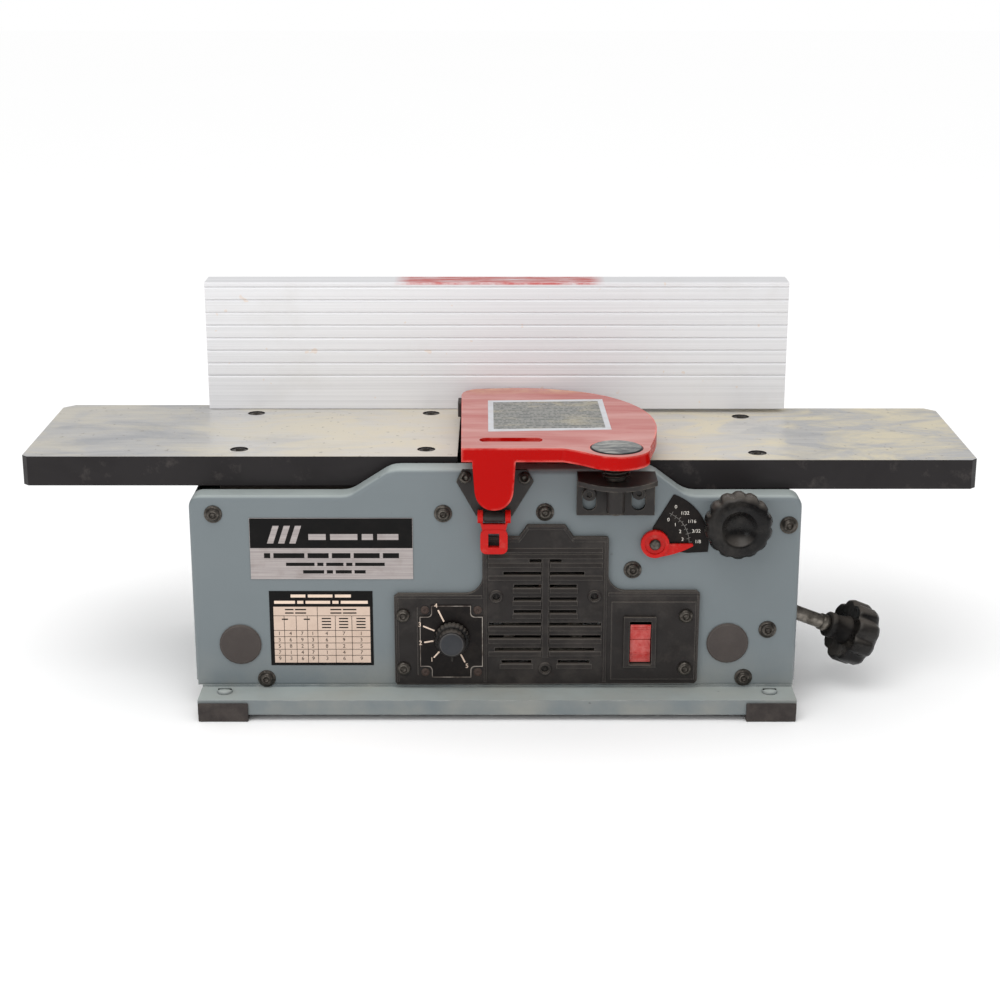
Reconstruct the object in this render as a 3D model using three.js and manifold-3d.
// Six-inch variable-speed benchtop jointer, in millimetres, +Z up.
// X runs along the tables (infeed table at +X), Y from the operator to the back, and Z is the
// height above the surface that the rubber feet stand on. Y = 0 is the tables' front edge.
import * as THREE from "three";
import { mergeVertices } from "three/addons/utils/BufferGeometryUtils.js";
import Module from "manifold-3d";

const wasm = await Module();
wasm.setup();

// ---------------------------------------------------------------- driving dimensions
const GAP = 0.3;                    // clearance between neighbouring solids

const TABLE_TOP = 209;              // outfeed table height
const TABLE_THICK = 24.5;
const TABLE_DEPTH = 169;
const TABLE_END = 386.5;            // half the overall table length
const CUT_DEPTH = 3;                // the infeed table is this much lower
const SCREW_ROWS = [22, 140];       // table screws, from the front edge
const TABLE_SKIN = 8.5;             // thickness of the working surface between the ribs
const RIM = 9;                      // width of the rim and of half a rib

const CUTTER_X = -4;                // cutterhead axis
const CUTTER_R = 25.4;
const CUTTER_Z = TABLE_TOP - CUTTER_R;
const KNIFE_PROUD = 0.9;
const THROAT = 30;                  // half the gap between the tables, with the infeed table up
const WAY_ANGLE = THREE.MathUtils.degToRad(20);
const WAY_RISE = Math.tan(WAY_ANGLE);

const PANEL_FACE = -22;             // front face of the front panel
const PANEL_BACK = 181;             // rear face of the rear panel
const REAR_RIM = 11;                // the rear panel's rim stops short of the tables
const SHEET = 1.6;
const PANEL_LEFT = -250;
const PANEL_RIGHT = 243;
const PANEL_BEND = 18;              // height of the foot flange
const PANEL_LOW = 182;
const PANEL_HIGH = 204;
const FLANGE = 29.3;                // reach of the foot flange
const LIP_BOTTOM = 5.6;
const ACCESS_HOLES = { left: [-212.1, 55.6], right: [186.4, 56.8] };
const FOOT_WIDTH = 40.6;
const FOOT_HEIGHT = 16;

const FENCE_FACE = 154;
const FENCE_THICK = 28;
const FENCE_BOTTOM = TABLE_TOP + 0.5;
const FENCE_TOP = 322;
const FENCE_X = [-256, 251];
const FENCE_PIVOT = [191.3, 223];     // Y and Z of the tilting axis
const LOCK_Y = 225;                 // the stud that clamps the fence carriage
const QUADRANT_R = 28;              // middle of the tilt quadrant's slot
const STUD_ANGLE = THREE.MathUtils.degToRad(42);
const FENCE_TILT_PIN_R = 3;

const PIVOT = [91.5, -46];          // guard spindle, X and Y
const GUARD_TOP = 229;
const GUARD_BOTTOM = 217.7;
const GUARD_SKIN = 4.5;             // top thickness over the pockets underneath
const BRACKET_SCREWS = { left: [71.6, 186], right: [111, 187] };

const MOTOR = [37, 94];             // motor axis, X and Z
const BELT_Y = 170;
const BELT_WIDTH = 8;
const HEAD_PULLEY_R = 15;
const MOTOR_PULLEY_R = 20;

const DEPTH_KNOB = [189.5, 163.8];    // X and Z
const POINTER = [125, 143];
const SPEED_KNOB = [-38.8, 63];
const ROCKER_Z = 58.8;
const CORD_HOLE = [150, 60];
const LATCH_AXIS = [-31, 168];      // Y and Z
const ROD_START = [247.5, 7.5, 72];   // a point on the table lock rod
const ROD_DIRECTION = [0.872, 0.259, -0.414];

// ---------------------------------------------------------------- colours
function paint(color, roughness = 0.5, metalness = 0) {
  return new THREE.MeshStandardMaterial({ color, roughness, metalness });
}
const BLUE_GREY = paint(0x7d8c92, 0.45);
const BLACK_PAINT = paint(0x1b1a1b, 0.45);
const BLACK_PLASTIC = paint(0x232021, 0.6);
const RUBBER = paint(0x2b2b2c, 0.9);
const RED_PAINT = paint(0xc01812, 0.35);
const MACHINED = paint(0x9a9894, 0.35, 0.9);
const CAST = paint(0x4a4542, 0.7, 0.5);
const STEEL = paint(0x8f8b86, 0.4, 0.9);
const ALUMINIUM = paint(0xd2d1d2, 0.45, 0.6);
const COPPER = paint(0x9a5a3a, 0.5, 0.7);

// ---------------------------------------------------------------- solids
function solid(geometry) {
  geometry.deleteAttribute("normal");
  geometry.deleteAttribute("uv");
  const merged = mergeVertices(geometry, 1e-4);
  const vertProperties = new Float32Array(merged.attributes.position.array);
  const triVerts = new Uint32Array(merged.index.array);
  return new wasm.Manifold(new wasm.Mesh({ numProp: 3, vertProperties, triVerts }));
}

function box([x0, x1], [y0, y1], [z0, z1]) {
  const geometry = new THREE.BoxGeometry(x1 - x0, y1 - y0, z1 - z0);
  geometry.translate((x0 + x1) / 2, (y0 + y1) / 2, (z0 + z1) / 2);
  return solid(geometry);
}

// Matrices that send a flat outline's x, y and its extrusion to the part's axes.
const ALONG_X = new THREE.Matrix4().set(0, 0, 1, 0, 1, 0, 0, 0, 0, 1, 0, 0, 0, 0, 0, 1);
const ALONG_Y = new THREE.Matrix4().set(1, 0, 0, 0, 0, 0, -1, 0, 0, 1, 0, 0, 0, 0, 0, 1);

function extrude(shape, depth, segments, bevel) {
  const settings = { depth, curveSegments: segments, bevelEnabled: false, ...bevel };
  return new THREE.ExtrudeGeometry(shape, settings);
}

function prismX(shape, [x0, x1], segments = 6) {
  const geometry = extrude(shape, x1 - x0, segments);
  return solid(geometry.applyMatrix4(ALONG_X).translate(x0, 0, 0));
}

function prismY(shape, [y0, y1], segments = 6) {
  const geometry = extrude(shape, y1 - y0, segments);
  return solid(geometry.applyMatrix4(ALONG_Y).translate(0, y1, 0));
}

function prismZ(shape, [z0, z1], segments = 6) {
  return solid(extrude(shape, z1 - z0, segments).translate(0, 0, z0));
}

function cylinder(radius, length, sides, topRadius = radius) {
  return new THREE.CylinderGeometry(topRadius, radius, length, sides);
}

function rodX(radius, [x0, x1], [y, z], sides = 20) {
  const geometry = cylinder(radius, x1 - x0, sides).rotateZ(-Math.PI / 2);
  return solid(geometry.translate((x0 + x1) / 2, y, z));
}

function rodY(radius, [y0, y1], [x, z], sides = 20) {
  return solid(cylinder(radius, y1 - y0, sides).translate(x, (y0 + y1) / 2, z));
}

function rodZ(radius, [z0, z1], [x, y], sides = 20) {
  const geometry = cylinder(radius, z1 - z0, sides).rotateX(Math.PI / 2);
  return solid(geometry.translate(x, y, (z0 + z1) / 2));
}

// A turned solid: profile points are [radius, height along the axis], either way round.
function turned(profile, sides = 20) {
  const points = profile.map(([r, h]) => new THREE.Vector2(r, h));
  const ordered = THREE.ShapeUtils.area(points) < 0 ? points.reverse() : points;
  return new THREE.LatheGeometry(ordered, sides);
}

function turnedY(profile, [x, z], sides = 20) {
  return solid(turned(profile, sides).translate(x, 0, z));
}

function turnedZ(profile, [x, y], sides = 20) {
  return solid(turned(profile, sides).rotateX(Math.PI / 2).translate(x, y, 0));
}

function polygon(points) {
  return new THREE.Shape(points.map(([x, y]) => new THREE.Vector2(x, y)));
}

function roundRect([x0, x1], [y0, y1], r) {
  const shape = new THREE.Shape();
  shape.moveTo(x0 + r, y0);
  shape.lineTo(x1 - r, y0);
  shape.absarc(x1 - r, y0 + r, r, -Math.PI / 2, 0);
  shape.lineTo(x1, y1 - r);
  shape.absarc(x1 - r, y1 - r, r, 0, Math.PI / 2);
  shape.lineTo(x0 + r, y1);
  shape.absarc(x0 + r, y1 - r, r, Math.PI / 2, Math.PI);
  shape.lineTo(x0, y0 + r);
  shape.absarc(x0 + r, y0 + r, r, Math.PI, Math.PI * 1.5);
  return shape;
}

// A knob's scalloped outline: shallow hollows between rounded lobes.
function lobedOutline(radius, depth, lobes, stepsPerLobe = 4) {
  const points = [];
  const count = lobes * stepsPerLobe;
  for (let i = 0; i < count; i += 1) {
    const angle = (i / count) * Math.PI * 2;
    const wave = Math.pow(0.5 - 0.5 * Math.cos(lobes * angle), 0.6);
    const r = radius - depth * (1 - wave);
    points.push([r * Math.cos(angle), r * Math.sin(angle)]);
  }
  return polygon(points);
}

function join(first, ...others) {
  return others.reduce((sum, part) => sum.add(part), first);
}

function cut(body, ...tools) {
  return tools.reduce((rest, tool) => rest.subtract(tool), body);
}

// ---------------------------------------------------------------- scene graph
const jointer = new THREE.Group();
const machine = new THREE.Group();
jointer.add(machine);

function place(name, body, material) {
  const { numProp, vertProperties, triVerts } = body.getMesh();
  const geometry = new THREE.BufferGeometry();
  const positions = new Float32Array((vertProperties.length / numProp) * 3);
  for (let i = 0; i < positions.length; i += 1) {
    positions[i] = vertProperties[Math.floor(i / 3) * numProp + (i % 3)];
  }
  geometry.setAttribute("position", new THREE.BufferAttribute(positions, 3));
  geometry.setIndex(new THREE.BufferAttribute(new Uint32Array(triVerts), 1));
  geometry.computeVertexNormals();
  const mesh = new THREE.Mesh(geometry, material);
  mesh.name = name;
  machine.add(mesh);
  return mesh;
}

// ---------------------------------------------------------------- base shell
function panelOutline() {
  const corner = 10;
  const shape = new THREE.Shape();
  shape.moveTo(PANEL_LEFT, PANEL_BEND);
  shape.lineTo(PANEL_RIGHT, PANEL_BEND);
  shape.lineTo(PANEL_RIGHT, PANEL_LOW - corner);
  shape.absarc(PANEL_RIGHT - corner, PANEL_LOW - corner, corner, 0, Math.PI / 2);
  shape.lineTo(158, PANEL_LOW);
  shape.quadraticCurveTo(150, PANEL_LOW, 144, 186.5);
  shape.lineTo(126, 200);
  shape.quadraticCurveTo(120, PANEL_HIGH, 112, PANEL_HIGH);
  shape.lineTo(-79, PANEL_HIGH);
  shape.quadraticCurveTo(-86, PANEL_HIGH, -91, 201);
  shape.lineTo(-116, 185);
  shape.quadraticCurveTo(-121, PANEL_LOW, -127, PANEL_LOW);
  shape.lineTo(PANEL_LEFT + corner, PANEL_LOW);
  shape.absarc(PANEL_LEFT + corner, PANEL_LOW - corner, corner, Math.PI / 2, Math.PI);
  shape.lineTo(PANEL_LEFT, PANEL_BEND);
  return shape;
}

// A pressed pan: the outline with a rounded front edge, hollowed from behind. It is made with its
// face at Y = 0 looking along -Y, and its flanges reach back to Y = 20.
function pressedPan() {
  const bend = 4.5;
  const outline = panelOutline();
  const reach = 60;
  const rounded = (radius, inset) => {
    const bevel = { bevelEnabled: true, bevelThickness: radius, bevelSize: radius };
    bevel.bevelOffset = -radius - inset;
    bevel.bevelSegments = inset > 0 ? 1 : 3;
    const geometry = extrude(outline, reach, 3, bevel).applyMatrix4(ALONG_Y);
    return solid(geometry.translate(0, reach + radius + inset, 0));
  };
  const skin = rounded(bend, 0).intersect(box([-400, 400], [-1, 20], [0, 300]));
  const hollow = rounded(bend - SHEET, SHEET);
  const openBottom = box([-400, 400], [SHEET, 30], [0, PANEL_BEND + bend + 1]);
  return skin.subtract(hollow).subtract(openBottom);
}

function footFlange() {
  const left = PANEL_LEFT + 5;
  const right = PANEL_RIGHT - 2;
  const shelf = box([left, right], [-FLANGE, SHEET], [PANEL_BEND - SHEET, PANEL_BEND + SHEET]);
  const trim = box([left - 1, right + 1], [-FLANGE - 1, -0.001], [PANEL_BEND, PANEL_BEND + 5]);
  const lip = box([left, right], [-FLANGE, -FLANGE + SHEET], [LIP_BOTTOM, PANEL_BEND - 0.5]);
  return shelf.subtract(trim).add(lip);
}

function mirrorY(body) {
  return body.mirror([0, 1, 0]);
}

function frontPanel() {
  const holes = [
    ...Object.values(ACCESS_HOLES).map((centre) => rodY(16.5, [-40, 0], centre, 32)),
    rodY(5, [-40, 0], SPEED_KNOB, 16),
    rodY(7, [-40, 0], DEPTH_KNOB, 20),
    rodY(2.6, [-40, 0], POINTER, 12),
    ...Object.values(BRACKET_SCREWS).map((centre) => rodY(3.2, [-40, 0], centre, 12)),
    box([-10, 84], [-40, 0], [31, 144]),
    box([102.4, 126.2], [-40, 0], [38.2, 80.8]),
  ];
  const body = pressedPan().add(footFlange()).translate([0, PANEL_FACE, 0]);
  place("front_panel", cut(body, ...holes), BLUE_GREY);
}

function rearPanel() {
  const holes = [
    box([-160, -84], [150, 220], [28, 92]),
    rodY(8, [150, 220], CORD_HOLE, 16),
    box([PANEL_LEFT - 1, PANEL_RIGHT + 1], [150, PANEL_BACK - REAR_RIM], [0, PANEL_HIGH + 1]),
  ];
  const body = mirrorY(pressedPan().add(footFlange())).translate([0, PANEL_BACK, 0]);
  place("rear_panel", cut(body, ...holes), BLUE_GREY);
}

function endPlates() {
  const front = PANEL_FACE + 21;
  const back = PANEL_BACK - REAR_RIM - 1;
  const inset = SHEET + GAP;
  const low = PANEL_BEND - SHEET;
  const leftX = [PANEL_LEFT + inset, PANEL_LEFT + inset + SHEET];
  const rightX = [PANEL_RIGHT - inset - SHEET, PANEL_RIGHT - inset];
  const left = box(leftX, [front, back], [low, 178]);
  const rodHole = rodX(12, [rightX[0] - 5, rightX[1] + 5], [5.5, 75], 20);
  const right = box(rightX, [front - 16, back], [low, 170]).subtract(rodHole);
  place("left_end_plate", left, BLUE_GREY);
  place("right_end_plate", right, BLUE_GREY);
}

function feet() {
  const lipY = PANEL_FACE - FLANGE;
  const corners = [
    ["foot_front_left", -244.6, 1],
    ["foot_front_right", 200, 1],
    ["foot_rear_left", -244.6, -1],
    ["foot_rear_right", 200, -1],
  ];
  for (const [name, x, side] of corners) {
    const width = [x, x + FOOT_WIDTH];
    const pad = box(width, [lipY - 2.2, lipY + 28], [0, FOOT_HEIGHT]);
    const slot = box([x - 1, x + FOOT_WIDTH + 1], [lipY - GAP, lipY + SHEET + GAP],
      [LIP_BOTTOM - GAP, FOOT_HEIGHT + 1]);
    const body = pad.subtract(slot);
    const middle = PANEL_FACE + PANEL_BACK;
    place(name, side > 0 ? body : mirrorY(body).translate([0, middle, 0]), RUBBER);
  }
}

function accessPlugs() {
  for (const [side, centre] of Object.entries(ACCESS_HOLES)) {
    const face = PANEL_FACE - GAP;
    const profile = [[0, face - 1.6], [16, face - 1.6], [17.2, face - 0.8], [17.2, face],
      [16, face], [16, face + 5], [14.5, face + 5], [14.5, face + 0.6], [0, face + 0.6]];
    place(`access_plug_${side}`, turnedY(profile, centre, 24), BLACK_PLASTIC);
  }
}

// ---------------------------------------------------------------- bed and tables
function wayTop(x) {
  return 173 - (x - 45) * WAY_RISE;
}

function bedCasting() {
  const deck = box([-228, -36], [8, 151], [172, TABLE_TOP - TABLE_THICK - GAP]);
  const ribs = [8, 74, 141].map((y) => box([-228, -30], [y, y + 10], [140, 173]));
  const cradle = [[-4, 10], [149, 163]].map((depth) => box([-40, 46], depth, [146, 181]));
  const ways = polygon([[36, wayTop(36)], [225, wayTop(225)], [225, wayTop(225) - 14],
    [90, wayTop(90) - 14], [36, 148]]);
  const wayBlock = [[8, 50], [109, 151]].map((depth) => prismY(ways, depth));
  const tie = box([200, 225], [8, 151], [wayTop(225) - 13, wayTop(225) - 1]);
  const bosses = [[-222, 160], [225, 104]].map((centre) => rodY(9, [-20, 179], centre, 12));
  const centre = [CUTTER_X, CUTTER_Z];
  const bores = rodY(19.3, [-10, 170], centre, 32);
  const below = box([-30, 38], [9, 150], [120, 200]);
  const casting = join(deck, ...ribs, ...cradle, ...wayBlock, tie, ...bosses);
  place("bed_casting", cut(casting, bores, below), CAST);
}

function tableOutline(inner, outer) {
  const chamfer = 4.5;
  const backChamfer = 9;
  const out = Math.sign(outer);
  return polygon([[inner, 0], [outer - out * chamfer, 0], [outer, chamfer],
    [outer, TABLE_DEPTH - backChamfer], [outer - out * backChamfer, TABLE_DEPTH],
    [inner, TABLE_DEPTH]]);
}

// The underside is cast with a rim, a rib along the middle and ribs that carry the screws.
function tablePockets(outer, top, [farScrew, nearScrew]) {
  const out = Math.sign(outer);
  const spans = [[outer - out * RIM, farScrew + out * RIM], [farScrew - out * RIM,
    nearScrew + out * RIM]];
  const middle = TABLE_DEPTH / 2;
  const depths = [[RIM, middle - RIM / 2], [middle + RIM / 2, TABLE_DEPTH - RIM]];
  const height = [top - TABLE_THICK - 1, top - TABLE_SKIN];
  return spans.flatMap((span) =>
    depths.map((depth) => box([Math.min(...span), Math.max(...span)], depth, height)));
}

function table(inner, outer, top, screwX) {
  const shape = tableOutline(inner, outer);
  const slab = prismZ(shape, [top - TABLE_THICK, top]);
  const towards = Math.sign(inner - CUTTER_X);
  const undercut = prismY(polygon([[inner, top - 5], [inner, top - TABLE_THICK - 1],
    [inner + towards * 12, top - TABLE_THICK - 1]]), [-1, TABLE_DEPTH + 1]);
  const recesses = [];
  for (const x of screwX) {
    for (const y of SCREW_ROWS) {
      recesses.push(turnedZ([[0, top - 5], [4.5, top - 5], [7.4, top - 0.6], [7.4, top + 1],
        [0, top + 1]], [x, y], 14));
    }
  }
  return cut(slab, undercut, ...tablePockets(outer, top, screwX), ...recesses);
}

function tables() {
  const infeedInner = CUTTER_X + THROAT + CUT_DEPTH / WAY_RISE;
  place("outfeed_table", table(CUTTER_X - THROAT, -TABLE_END, TABLE_TOP, [-213, -60]), MACHINED);
  place("infeed_table", table(infeedInner, TABLE_END, TABLE_TOP - CUT_DEPTH, [211, 74]), MACHINED);
}

function infeedCarriage() {
  const top = TABLE_TOP - CUT_DEPTH - TABLE_THICK - GAP;
  const lift = 0.5;
  const wedge = polygon([[54, top], [54, wayTop(54) + lift], [216, wayTop(216) + lift],
    [216, top]]);
  const lightening = polygon([[110, top - 10], [110, 100], [206, 100], [206, top - 10]]);
  const body = prismY(wedge, [10, 149]).subtract(prismY(lightening, [22, 137]));
  place("infeed_carriage", body, CAST);
}

// ---------------------------------------------------------------- cutterhead and bearings
function cutterhead() {
  const body = rodY(CUTTER_R - 1.4, [10.6, 148.4], [0, 0], 40);
  const shaft = join(rodY(10, [0, 160], [0, 0], 20), rodY(7, [-8, 176], [0, 0], 16));
  const slot = box([-5.2, 5.2], [5, 154], [CUTTER_R - 14, CUTTER_R + 5]);
  const slots = [slot, slot.rotate([0, 180, 0])];
  const head = cut(body, ...slots).add(shaft).translate([CUTTER_X, 0, CUTTER_Z]);
  place("cutterhead", head, STEEL);
  for (const [index, turn] of [0, 180].entries()) {
    const knife = box([1.6, 4.6], [11, 148], [CUTTER_R - 13, CUTTER_R - KNIFE_PROUD + 0.8]);
    const wedge = box([-4.8, 1.3], [11, 148], [CUTTER_R - 13.6, CUTTER_R - 3.2]);
    const turnBody = (part) => part.rotate([0, turn, 0]).translate([CUTTER_X, 0, CUTTER_Z]);
    place(`knife_${index + 1}`, turnBody(knife), STEEL);
    place(`knife_wedge_${index + 1}`, turnBody(wedge), STEEL);
  }
}

function bearings() {
  const ring = (y0, y1) => turnedY([[10.3, y0], [19, y0], [19, y1], [10.3, y1], [10.3, y0]],
    [CUTTER_X, CUTTER_Z], 24);
  place("front_bearing", ring(0.4, 9.6), STEEL);
  place("rear_bearing", ring(149.4, 159.6), STEEL);
}

function frontBearingCover() {
  const plateY = [PANEL_FACE - 3, PANEL_FACE - GAP];
  const outline = polygon([[-30, 205], [22, 205], [27.2, 195], [9.9, 166], [-18.6, 166],
    [-34.7, 195]]);
  const knuckle = rodX(4.2, [-12.9, 4.1], LATCH_AXIS, 16);
  const web = box([-12.9, 4.1], [LATCH_AXIS[0], PANEL_FACE - 1], [166, 171]);
  const bore = rodX(2.2, [-20, 12], LATCH_AXIS, 12);
  const behind = box([-60, 60], [PANEL_FACE - GAP, 10], [100, 260]);
  const cover = join(prismY(outline, plateY), knuckle, web);
  place("front_bearing_cover", cut(cover, bore, behind), BLACK_PAINT);
}

// ---------------------------------------------------------------- motor and drive
function motor() {
  const [x, z] = MOTOR;
  const shell = [[9, 20], [42, 20], [42, 130], [9, 130], [9, 126], [38, 126], [38, 24], [9, 24],
    [9, 20]];
  place("motor_housing", turnedY(shell, MOTOR, 24), BLACK_PAINT);
  const core = [[0, 8], [5, 8], [5, 34], [30, 34], [30, 112], [18, 114], [18, 122], [5, 122],
    [5, 178], [0, 178]];
  place("motor_armature", turnedY(core, MOTOR, 16), COPPER);
  const cradle = box([x - 34, x + 34], [50, 100], [PANEL_BEND, z - 20]);
  const seat = rodY(42 + GAP, [40, 110], MOTOR, 32);
  const hollow = box([x - 24, x + 24], [40, 110], [PANEL_BEND + 6, z - 50]);
  const ends = box([PANEL_LEFT + 6, PANEL_RIGHT - 6], [60, 90], [PANEL_BEND - 1, PANEL_BEND + 4]);
  place("motor_bracket", join(cut(cradle, seat, hollow), ends), STEEL);
}

function pulley(name, radius, bore, centre) {
  const [y0, y1] = [BELT_Y - BELT_WIDTH / 2 - 1, BELT_Y + BELT_WIDTH / 2 + 1];
  const profile = [[bore, y0], [radius, y0], [radius, y1], [bore, y1], [bore, y0]];
  place(name, turnedY(profile, centre, 24), STEEL);
}

// The belt's centre line is the two outer tangents and the arcs round both pulleys.
function beltLoop(radiusHead, radiusMotor) {
  const dx = MOTOR[0] - CUTTER_X;
  const dz = MOTOR[1] - CUTTER_Z;
  const span = Math.hypot(dx, dz);
  const heading = Math.atan2(dz, dx);
  const lean = Math.acos((radiusHead - radiusMotor) / span);
  const points = [];
  const sweep = (cx, cz, r, from, to, steps) => {
    for (let i = 0; i <= steps; i += 1) {
      const angle = from + ((to - from) * i) / steps;
      points.push([cx + r * Math.cos(angle), cz + r * Math.sin(angle)]);
    }
  };
  sweep(CUTTER_X, CUTTER_Z, radiusHead, heading + lean, heading - lean + Math.PI * 2, 14);
  sweep(MOTOR[0], MOTOR[1], radiusMotor, heading - lean, heading + lean, 14);
  return polygon(points);
}

function driveBelt() {
  const depth = [BELT_Y - BELT_WIDTH / 2 + 0.3, BELT_Y + BELT_WIDTH / 2 - 0.3];
  const thick = 3;
  const outer = prismY(beltLoop(HEAD_PULLEY_R + thick, MOTOR_PULLEY_R + thick), depth);
  const inner = prismY(beltLoop(HEAD_PULLEY_R + 0.4, MOTOR_PULLEY_R + 0.4),
    [depth[0] - 1, depth[1] + 1]);
  place("drive_belt", outer.subtract(inner), RUBBER);
}

function beltCover() {
  // A shield between the belt and the motor bay, with clearance holes for both shafts.
  const plate = box([-30, 66], [164.2, 164.9], [70, 145]);
  const upper = box([-30, 30], [164.2, 164.9], [144, 182]);
  const shaftHoles = [rodY(11, [160, 168], [CUTTER_X, CUTTER_Z], 20),
    rodY(9, [160, 168], MOTOR, 20)];
  place("belt_shield", cut(plate.add(upper), ...shaftHoles), BLACK_PAINT);
}

function chipWays() {
  const path = polygon([[32, 143], [-24, 130], [-66, 96], [-82, 30], [-80, 30], [-64.5, 95],
    [-23, 128], [32, 141]]);
  place("chip_chute", prismY(path, [14, 146]), STEEL);
  const flange = box([-168, -76], [PANEL_BACK + GAP, PANEL_BACK + 3], [20, 100]);
  const collar = box([-158, -86], [PANEL_BACK - 24, PANEL_BACK + 30], [30, 90]);
  const duct = box([-155, -89], [PANEL_BACK - 30, PANEL_BACK + 40], [33, 87]);
  place("chip_outlet", cut(flange.add(collar), duct), BLACK_PLASTIC);
}

function cordGland() {
  const y = PANEL_BACK;
  const profile = [[4, y - 8], [7.5, y - 8], [7.5, y + GAP], [11, y + GAP], [11, y + 4],
    [8, y + 5], [6.5, y + 22], [4, y + 22], [4, y - 8]];
  place("cord_gland", turnedY(profile, CORD_HOLE, 14), BLACK_PLASTIC);
}

// ---------------------------------------------------------------- control bezel
function bezelOutline() {
  const shape = new THREE.Shape();
  const fillet = 14;
  shape.moveTo(-84, 21.5);
  shape.lineTo(160, 22.6);
  shape.lineTo(162, 25);
  shape.lineTo(162.5, 100.5);
  shape.lineTo(160, 103);
  shape.lineTo(88 + fillet, 103);
  shape.absarc(88 + fillet, 103 + fillet, fillet, -Math.PI / 2, -Math.PI, true);
  shape.lineTo(88, 146);
  shape.quadraticCurveTo(88, 149, 85, 149);
  shape.lineTo(59.6, 149);
  shape.lineTo(52.7, 159);
  shape.lineTo(22.3, 159);
  shape.lineTo(15.4, 149);
  shape.lineTo(-11, 149);
  shape.quadraticCurveTo(-14, 149, -14, 146);
  shape.lineTo(-14, 100.5 + fillet);
  shape.absarc(-14 - fillet, 100.5 + fillet, fillet, 0, -Math.PI / 2, true);
  shape.lineTo(-83, 100.5);
  shape.lineTo(-85.7, 98);
  shape.lineTo(-85.7, 23.8);
  return shape;
}

// Each row of vents: the far left edge, the rib's two edges and the far right edge.
function ventRows() {
  const rows = [];
  const pitch = 10.95;
  const ribs = [33.8, 40.4];
  const reach = [[24, 50], [3, 68.5], [11.5, 62.5], [11.5, 62.5], [11.5, 62.5], [-9, 82.5],
    [-9, 82.5], [-4, 77.5]];
  for (const [row, [left, right]] of reach.entries()) {
    const z = 129 - row * pitch;
    rows.push([[left, ribs[0]], z], [[ribs[1], right], z]);
  }
  rows.push([[1.5, 26], 41.5], [[47.5, 73.5], 41.5]);
  return rows;
}

function controlBezel() {
  const front = PANEL_FACE - 4;
  const plate = prismY(bezelOutline(), [front, PANEL_FACE - GAP], 5);
  const switchPad = box([91, 159.5], [front - 1, front + 1], [26.5, 94]);
  const vents = ventRows().map(([span, z]) => box(span, [front - 5, 0], [z - 1.6, z + 1.6]));
  const holes = [[-2.9, 98], [77, 98.2], [37.1, 35.2]].map((at) => rodY(3.2, [-40, 0], at, 12));
  const dialHole = rodY(5, [-40, 0], SPEED_KNOB, 16);
  const switchHole = box([102.6, 125.8], [-40, 0], [38.6, 80.6]);
  const body = cut(plate.add(switchPad), ...vents, ...holes, dialHole, switchHole);
  place("control_bezel", body, BLACK_PLASTIC);
}

function speedControls() {
  const face = PANEL_FACE - 4 - GAP;
  const notch = 9.5;
  const [x0, x1, z0, z1] = [-65.4, -13.4, 27.9, 91.1];
  const outline = polygon([[x0 + notch, z0], [x1 - notch, z0], [x1 - notch, z0 + notch],
    [x1, z0 + notch], [x1, z1 - notch], [x1 - notch, z1 - notch], [x1 - notch, z1],
    [x0 + notch, z1], [x0 + notch, z1 - notch], [x0, z1 - notch], [x0, z0 + notch],
    [x0 + notch, z0 + notch]]);
  const plate = prismY(outline, [face - 0.8, face]).subtract(rodY(5, [-40, 0], SPEED_KNOB, 16));
  place("dial_plate", plate, BLACK_PAINT);
  const [x, z] = SPEED_KNOB;
  const can = box([x - 13, x + 13], [PANEL_FACE + 3, PANEL_FACE + 18], [z - 13, z + 13]);
  place("speed_control", can.add(rodY(3.4, [face - 5, PANEL_FACE + 4], SPEED_KNOB, 16)), STEEL);
  const skirt = turnedY([[0, face - 2.6], [14.4, face - 2.6], [14.4, face - 5.6],
    [11, face - 8], [0, face - 8]], SPEED_KNOB, 32);
  const grip = prismY(lobedOutline(11, 1, 12, 3), [face - 17, face - 7]);
  const pointer = box([-1.2, 1.2], [face - 5, face - 2.6], [-19, 0]);
  const upright = join(grip, pointer).translate([x, 0, z]);
  const socket = rodY(3.7, [face - 5.4, 0], SPEED_KNOB, 16);
  place("speed_knob", join(skirt, upright).subtract(socket), BLACK_PLASTIC);
}

function powerSwitch() {
  const front = PANEL_FACE - 5;
  const frameX = [101, 127.4];
  const flange = box(frameX, [front - 2.5, front - GAP], [37.8, 81.5]);
  const well = box([103, 125.4], [front - 1, PANEL_FACE + 20], [39, 80.2]);
  const opening = box([105.9, 123.6], [front - 5, PANEL_FACE + 16], [40, 77.6]);
  const bore = rodX(1.8, [100.5, 130], [front + 4, ROCKER_Z], 12);
  place("switch_frame", cut(flange.add(well), opening, bore), BLACK_PLASTIC);
  // The rocker's two faces meet in a valley: the upper half stands out, the lower is pressed in.
  const outline = polygon([[-6, 13.8], [-8.6, 16.3], [-4.4, 0], [-1.2, -16.6], [1.4, -15.2],
    [4, -6], [4, 6]]);
  const body = prismX(outline, [106.5, 123]).add(rodX(1.5, [103.6, 124.8], [0, 0], 12));
  place("switch_rocker", body.translate([0, front + 4, ROCKER_Z]), RED_PAINT);
}

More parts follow.
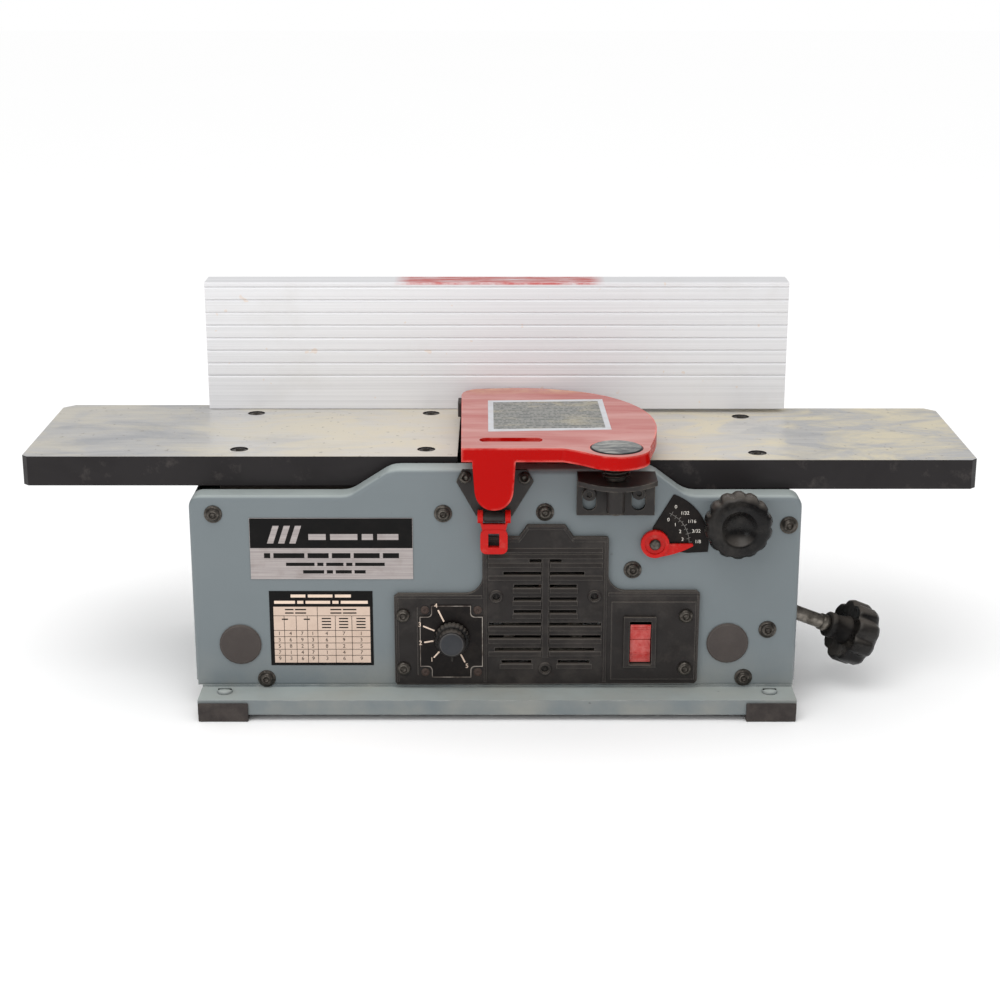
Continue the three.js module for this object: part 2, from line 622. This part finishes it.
// ---------------------------------------------------------------- depth of cut
function depthScale() {
  const y = [PANEL_FACE - 1.1, PANEL_FACE - GAP];
  const [px, pz] = POINTER;
  const radius = 43.5;
  const shape = new THREE.Shape();
  shape.moveTo(px - 2, pz + 13);
  shape.lineTo(px + 14, pz + 40.5);
  shape.absarc(px, pz, radius, THREE.MathUtils.degToRad(70), THREE.MathUtils.degToRad(-10), true);
  shape.lineTo(px + 26, pz - 8.4);
  shape.lineTo(px + 9, pz - 6);
  shape.lineTo(px - 2, pz + 8);
  const plate = prismY(shape, y, 8).subtract(rodY(6, [-40, 0], POINTER, 16));
  place("depth_scale_plate", plate, BLACK_PAINT);
}

function depthPointer() {
  const y = [PANEL_FACE - 4.2, PANEL_FACE - 1.6];
  const radius = 11.6;
  const [px, pz] = POINTER;
  const shape = new THREE.Shape();
  shape.absarc(0, 0, radius, 0, THREE.MathUtils.degToRad(290), false);
  shape.quadraticCurveTo(19, -8.2, 29.5, -2.2);
  shape.absarc(29.5, -1, 1.2, -Math.PI / 2, Math.PI / 2, false);
  const arm = prismY(shape, y, 8);
  const rim = turnedY([[8.4, y[0] - 1.2], [11.4, y[0] - 1.2], [11.4, y[1]], [8.4, y[1]],
    [8.4, y[0] - 1.2]], [0, 0], 20);
  const bore = rodY(3, [-60, 0], [0, 0], 12);
  place("depth_pointer", join(arm, rim).subtract(bore).translate([px, 0, pz]), RED_PAINT);
  const head = y[0] - GAP;
  const screw = [[0, head - 3], [3.4, head - 3], [4.5, head - 1.8], [4.5, head], [2.3, head],
    [2.3, PANEL_FACE + 4], [0, PANEL_FACE + 4]];
  place("pointer_screw", turnedY(screw, POINTER, 16), STEEL);
}

function depthKnob() {
  const front = -52;
  const back = -27;
  const grip = prismY(lobedOutline(25.2, 1.9, 14, 4), [front + 2, back - 6]);
  const cap = prismY(lobedOutline(23, 1.5, 14, 4), [front, front + 2.5]);
  const hub = rodY(11, [back - 7, back], [0, 0], 24);
  const dish = turnedY([[0, front + 9], [7, front + 8], [11.5, front + 2.5], [13, front - 1],
    [0, front - 1]], [0, 0], 28);
  const bore = rodY(5.3, [front + 9.4, back + 1], [0, 0], 16);
  const knob = join(grip, cap, hub).subtract(dish).subtract(bore);
  place("depth_knob", knob.translate([DEPTH_KNOB[0], 0, DEPTH_KNOB[1]]), BLACK_PLASTIC);
  const shaft = [[0, front + 9.8], [5, front + 9.8], [5, -4], [9, -4], [9, 4], [0, 4]];
  place("depth_shaft", turnedY(shaft, DEPTH_KNOB, 20), STEEL);
}

// ---------------------------------------------------------------- guard
function guardOutline() {
  const [px, py] = PIVOT;
  const radius = 26.5;
  const shape = new THREE.Shape();
  shape.moveTo(-30, -47.5);
  shape.lineTo(49, -47.5);
  shape.quadraticCurveTo(59, -52, 70.5, -63);
  shape.absarc(px, py, radius, THREE.MathUtils.degToRad(-132), THREE.MathUtils.degToRad(5), false);
  shape.bezierCurveTo(123, -18, 128, 2, 128, 26);
  shape.bezierCurveTo(128, 68, 112, 104, 88, 125);
  shape.bezierCurveTo(68, 142, 40, 151, 12, 151);
  shape.lineTo(-16, 148);
  shape.quadraticCurveTo(-32, 145, -33, 126);
  shape.lineTo(-30, -47.5);
  return shape;
}

// Four pockets lighten the casting from below and leave ribs between them.
function guardPockets() {
  const spans = [[[-27, 52], [-41, 20]], [[-27, 74], [26, 100]], [[80, 118], [-8, 60]],
    [[-24, 50], [106, 138]]];
  return spans.map(([x, y]) =>
    prismZ(roundRect(x, y, 6), [GUARD_BOTTOM - 1, GUARD_TOP - GUARD_SKIN], 3));
}

function guard() {
  const plate = prismZ(guardOutline(), [GUARD_BOTTOM, GUARD_TOP], 8);
  const tongue = new THREE.Shape();
  tongue.moveTo(-22, 224);
  tongue.lineTo(-19.7, 193);
  tongue.bezierCurveTo(-18.5, 183, -12, 178, -4.4, 178);
  tongue.bezierCurveTo(3.2, 178, 9.7, 183, 10.9, 193);
  tongue.lineTo(13, 224);
  const hanging = prismY(tongue, [-47.5, -43.3], 8);
  const recess = prismZ(roundRect([-16, 34], [-29, -16], 6), [GUARD_TOP - 3, GUARD_TOP + 1], 4);
  const capSeat = rodZ(20.9, [GUARD_TOP - 2, GUARD_TOP + 1], PIVOT, 36);
  const bore = rodZ(7.3, [GUARD_BOTTOM - 1, GUARD_TOP], PIVOT, 20);
  const tools = [...guardPockets(), recess, capSeat, bore];
  place("guard", cut(join(plate, hanging), ...tools), RED_PAINT);
  const low = GUARD_TOP - 2 + GAP;
  const cap = [[0, low], [20.6, low], [20.6, low + 1.6], [19.4, low + 2.6], [0, low + 3.2]];
  place("guard_cap", turnedZ(cap, PIVOT, 36), BLACK_PLASTIC);
}

function guardSpindle() {
  const spindle = [[0, 174.5], [4.4, 174.5], [4.4, 203.4], [7.9, 203.4], [7.9, GUARD_BOTTOM - GAP],
    [7, GUARD_BOTTOM - GAP], [7, GUARD_TOP - 2.4], [0, GUARD_TOP - 2.4]];
  place("guard_spindle", turnedZ(spindle, PIVOT, 20), STEEL);
  const wire = 1.5;
  const coil = 10.4;
  const turns = 3.4;
  const low = 205.6;
  const high = 215.4;
  class Coil extends THREE.Curve {
    getPoint(t, target = new THREE.Vector3()) {
      const angle = t * turns * Math.PI * 2;
      const z = low + (high - low) * t;
      return target.set(PIVOT[0] + coil * Math.cos(angle), PIVOT[1] + coil * Math.sin(angle), z);
    }
  }
  const section = new THREE.Shape();
  section.absarc(0, 0, wire / 2 + 0.3, 0, Math.PI * 2, false);
  const settings = { extrudePath: new Coil(), steps: 44, bevelEnabled: false, curveSegments: 2 };
  place("guard_spring", solid(new THREE.ExtrudeGeometry(section, settings)), STEEL);
}

function guardBracket() {
  const [px, py] = PIVOT;
  const top = 203;
  const back = PANEL_FACE - GAP;
  const wall = box([61.6, 124], [back - 4, back], [167.4, top]);
  const shelf = new THREE.Shape();
  shelf.moveTo(61.6, back);
  shelf.lineTo(61.6, -50);
  shelf.quadraticCurveTo(px + 1.3, -86, 124, -50);
  shelf.lineTo(124, back);
  const boss = rodZ(7.4, [176, top - 1], PIVOT, 20);
  const web = box([px - 2.5, px + 2.5], [py, back - 2], [177, top - 1]);
  const slots = Object.values(BRACKET_SCREWS).map(([x]) =>
    prismY(roundRect([x - 5.5, x + 5.5], [171.5, 191.5], 5.4), [back - 10, back + 5], 4));
  const bore = rodZ(4.8, [160, top + 1], PIVOT, 20);
  const body = join(wall, prismZ(shelf, [top - 4, top], 10), web, boss);
  place("guard_bracket", cut(body, ...slots, bore), CAST);
  for (const [side, centre] of Object.entries(BRACKET_SCREWS)) {
    const face = back - 4 - GAP;
    const screw = [[0, face - 4], [5, face - 4], [5.6, face - 3.2], [5.6, face], [2.8, face],
      [2.8, PANEL_FACE + 5], [0, PANEL_FACE + 5]];
    const hex = rodY(2.6, [face - 6, face - 2.4], centre, 6);
    place(`bracket_screw_${side}`, turnedY(screw, centre, 16).subtract(hex), STEEL);
  }
}

function guardLatch() {
  const [y, z] = LATCH_AXIS;
  const ears = [[-17.6, -13.3], [4.5, 8.8]].map((span) => rodX(5.4, span, LATCH_AXIS, 14));
  const neck = polygon([[-17.2, z + 1], [-13.4, z + 1], [-13.4, 162], [4.6, 162], [4.6, z + 1],
    [8.4, z + 1], [6, 161], [4.5, 155], [-13.3, 155], [-15, 161]]);
  const ring = prismY(roundRect([-15.5, 6.4], [137, 157.4], 5), [y - 2.4, y + 2.4], 3);
  const hole = box([-9.1, -0.3], [y - 5, y + 5], [142.6, 154.2]);
  const bore = rodX(2.2, [-20, 12], LATCH_AXIS, 12);
  const body = join(...ears, prismY(neck, [y - 2, y + 2]), ring);
  place("guard_latch", cut(body, hole, bore), RED_PAINT);
  place("latch_pin", rodX(1.8, [-18, 9.2], LATCH_AXIS, 12), STEEL);
}

// ---------------------------------------------------------------- fence
function fenceProfile() {
  const grooves = 8;
  const pitch = 11.2;
  const points = [[FENCE_FACE, FENCE_BOTTOM]];
  for (let i = grooves - 1; i >= 0; i -= 1) {
    const z = FENCE_TOP - 4.4 - i * pitch;
    points.push([FENCE_FACE, z - 1.2], [FENCE_FACE + 1.1, z], [FENCE_FACE, z + 1.2]);
  }
  points.push([FENCE_FACE, FENCE_TOP - 0.6], [FENCE_FACE + 0.6, FENCE_TOP]);
  points.push([FENCE_FACE + FENCE_THICK, FENCE_TOP], [FENCE_FACE + FENCE_THICK, FENCE_BOTTOM]);
  return polygon(points);
}

function fence() {
  const [py, pz] = FENCE_PIVOT;
  const back = FENCE_FACE + FENCE_THICK;
  const chambers = [[213.5, 246], [250, 283], [287, 317.5]].map((z) =>
    box([FENCE_X[0] - 1, FENCE_X[1] + 1], [FENCE_FACE + 4.5, back - 3.5], z));
  const extrusion = cut(prismX(fenceProfile(), FENCE_X), ...chambers);
  const knuckles = [[-34, -20.4], [20.4, 34]].map((span) =>
    join(rodX(6.5, span, FENCE_PIVOT, 20), box(span, [back - 1, py], [pz - 6.5, pz + 6.5])));
  const bore = rodX(FENCE_TILT_PIN_R + GAP, [-40, 40], FENCE_PIVOT, 16);
  const quadrant = tiltQuadrant().translate([0, py, pz]);
  place("fence", cut(join(extrusion, ...knuckles), bore).add(quadrant), ALUMINIUM);
}

// The slotted quadrant that the tilt lever clamps, drawn round the tilting axis.
function tiltQuadrant() {
  const [start, end] = [27, 100].map(THREE.MathUtils.degToRad);
  const [slotStart, slotEnd] = [34.5, 94.5].map(THREE.MathUtils.degToRad);
  const rim = QUADRANT_R + 6;
  const root = FENCE_FACE + FENCE_THICK - 1 - FENCE_PIVOT[0];
  const slotHalf = FENCE_TILT_PIN_R + 0.4;
  const plate = new THREE.Shape();
  plate.moveTo(root, -3);
  plate.lineTo(0, -3);
  plate.lineTo(rim * Math.cos(start), rim * Math.sin(start));
  plate.absarc(0, 0, rim, start, end, false);
  plate.lineTo(root, rim * Math.sin(end));
  const slot = new THREE.Shape();
  slot.absarc(0, 0, QUADRANT_R + slotHalf, slotStart, slotEnd, false);
  slot.absarc(0, 0, QUADRANT_R - slotHalf, slotEnd, slotStart, true);
  return prismX(plate, [48.4, 53.4], 12).subtract(prismX(slot, [40, 60], 12));
}

function fenceCarriage() {
  const [py, pz] = FENCE_PIVOT;
  const low = TABLE_TOP + 1.3;
  const top = 220;
  const plate = box([-48, 48], [198.8, 322], [low, top]);
  const knuckle = rodX(6.5, [-20, 20], FENCE_PIVOT, 20);
  const web = box([-20, 20], [py, 202], [low + 4, top + 4]);
  const stud = [py + QUADRANT_R * Math.cos(STUD_ANGLE), pz + QUADRANT_R * Math.sin(STUD_ANGLE)];
  const ear = join(rodX(7, [38, 48], stud, 20), box([38, 48], [205, 226], [top - 1, stud[1] - 2]));
  const slot = prismZ(roundRect([-6, 6], [217.5, 314], 1.5), [low - 5, top + 5], 2);
  const bore = rodX(FENCE_TILT_PIN_R + GAP, [-40, 35], FENCE_PIVOT, 16);
  const studHole = rodX(FENCE_TILT_PIN_R + GAP, [36, 50], stud, 16);
  place("fence_carriage", cut(join(plate, knuckle, web, ear), slot, bore, studHole), CAST);
  place("fence_hinge_pin", rodX(FENCE_TILT_PIN_R, [-37, 37], FENCE_PIVOT, 16), STEEL);
  const lever = join(rodX(FENCE_TILT_PIN_R, [39, 56], stud, 16), rodX(8, [53.8, 64], stud, 20));
  const handle = new THREE.Shape();
  handle.moveTo(-5, 0);
  handle.lineTo(5, 0);
  handle.lineTo(3.6, 40);
  handle.absarc(0, 40, 3.6, 0, Math.PI, false);
  const arm = prismX(handle, [57, 63], 6).rotate([-55, 0, 0]).translate([0, stud[0], stud[1]]);
  place("tilt_lever", lever.add(arm), BLACK_PLASTIC);
}

function fenceSupport() {
  const top = TABLE_TOP + 1;
  const width = [-46, 46];
  const plate = box(width, [PANEL_BACK + 5, 268], [198, top]);
  const wall = box(width, [PANEL_BACK + GAP, PANEL_BACK + 10], [112, 204]);
  const gusset = polygon([[PANEL_BACK + 5, 116], [PANEL_BACK + 12, 116], [262, 190], [262, 200],
    [PANEL_BACK + 5, 200]]);
  const ribs = [[-46, -38], [38, 46]].map((span) => prismX(gusset, span));
  const key = box([-5.6, 5.6], [LOCK_Y - 6.4, LOCK_Y + 6.4], [top - 1, top + 8]);
  const bore = rodZ(4.3, [190, 230], [0, LOCK_Y], 16);
  place("fence_support", join(plate, wall, ...ribs, key).subtract(bore), CAST);
  const knobTop = 242;
  const grip = prismZ(lobedOutline(17, 2, 6, 5), [224, knobTop]);
  const hub = rodZ(9, [220.3, 225], [0, 0], 20);
  const stud = rodZ(4, [194, 222], [0, 0], 16);
  place("fence_lock_knob", join(grip, hub, stud).translate([0, LOCK_Y, 0]), BLACK_PLASTIC);
}

// ---------------------------------------------------------------- table lock
function tableLock() {
  const axis = new THREE.Vector3(...ROD_DIRECTION).normalize();
  const turn = new THREE.Quaternion().setFromUnitVectors(new THREE.Vector3(0, 0, 1), axis);
  const matrix = new THREE.Matrix4().compose(new THREE.Vector3(...ROD_START), turn,
    new THREE.Vector3(1, 1, 1));
  const onRod = (geometry) => solid(geometry.applyMatrix4(matrix));
  const centred = (from, to, radius, sides, topRadius) =>
    cylinder(radius, to - from, sides, topRadius).rotateX(Math.PI / 2)
      .translate(0, 0, (from + to) / 2);
  place("lock_rod", onRod(centred(-26, 30, 6, 20)), STEEL);
  const hubStart = 30.4;
  const nut = onRod(centred(hubStart, hubStart + 7, 9.5, 6));
  const hub = onRod(centred(hubStart + 6, hubStart + 20, 9.5, 24, 12.5));
  const wheel = extrude(lobedOutline(26, 2.6, 8, 5), 17, 4).translate(0, 0, hubStart + 18);
  place("lock_knob", join(nut, hub, onRod(wheel)), BLACK_PLASTIC);
}

const builders = [frontPanel, rearPanel, endPlates, feet, accessPlugs, bedCasting, tables,
  infeedCarriage, cutterhead, bearings, frontBearingCover, motor, driveBelt, beltCover, chipWays,
  cordGland, controlBezel, speedControls, powerSwitch, depthScale, depthPointer, depthKnob, guard,
  guardSpindle, guardBracket, guardLatch, fence, fenceCarriage, fenceSupport, tableLock];
for (const build of builders) {
  build();
}
pulley("cutterhead_pulley", HEAD_PULLEY_R, 7.3, [CUTTER_X, CUTTER_Z]);
pulley("motor_pulley", MOTOR_PULLEY_R, 5.3, MOTOR);

// The origin is under the middle of the machine's box, on the surface that it stands on.
const bounds = new THREE.Box3().setFromObject(machine);
machine.position.x = -(bounds.min.x + bounds.max.x) / 2;
machine.position.y = -(bounds.min.y + bounds.max.y) / 2;
machine.position.z = -bounds.min.z;

export default jointer;
